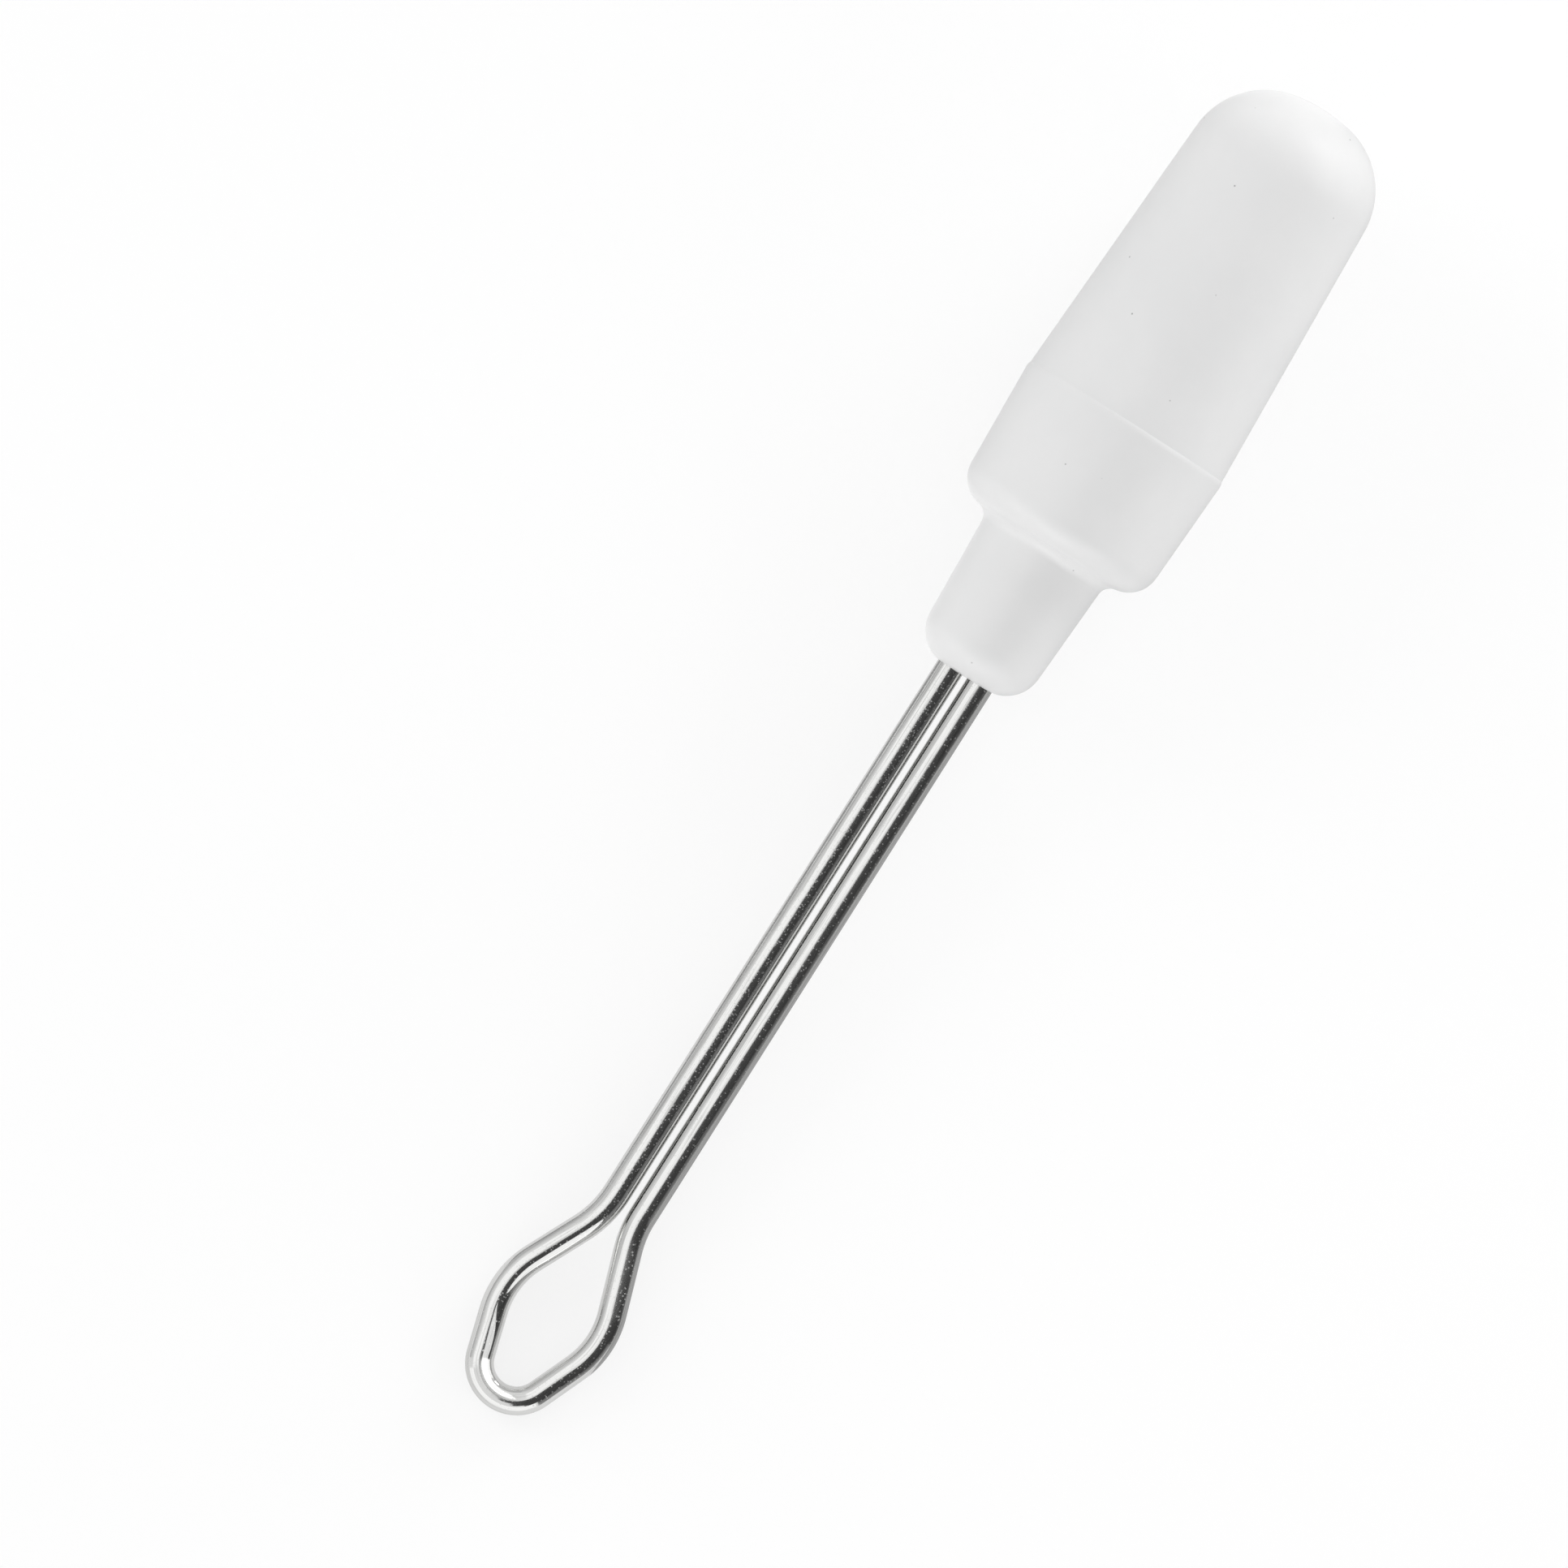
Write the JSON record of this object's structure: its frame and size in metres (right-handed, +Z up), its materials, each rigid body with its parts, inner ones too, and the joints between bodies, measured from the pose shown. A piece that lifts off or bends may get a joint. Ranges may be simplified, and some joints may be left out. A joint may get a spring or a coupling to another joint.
{
  "type": "ear pick",
  "caption": "Short ear pick: a round domed plastic handle with a stepped nose holds a thin steel wire bent into a small lozenge loop for scooping.",
  "frame": {"origin": "middle of the footprint, on the table that the pick lies on", "axes": "+X from the loop towards the handle's dome, +Y across the loop, +Z up from the table; the pick's own axis rises about 5.2 degrees towards the dome"},
  "size_m": [0.0526, 0.0078, 0.0084],
  "materials": {
    "handle_plastic": "satin white injection moulding",
    "wire_steel": "bright drawn stainless wire"
  },
  "bodies": {
    "root": {"handle": "handle_plastic", "loop_wire": "wire_steel"}
  },
  "joints": []
}
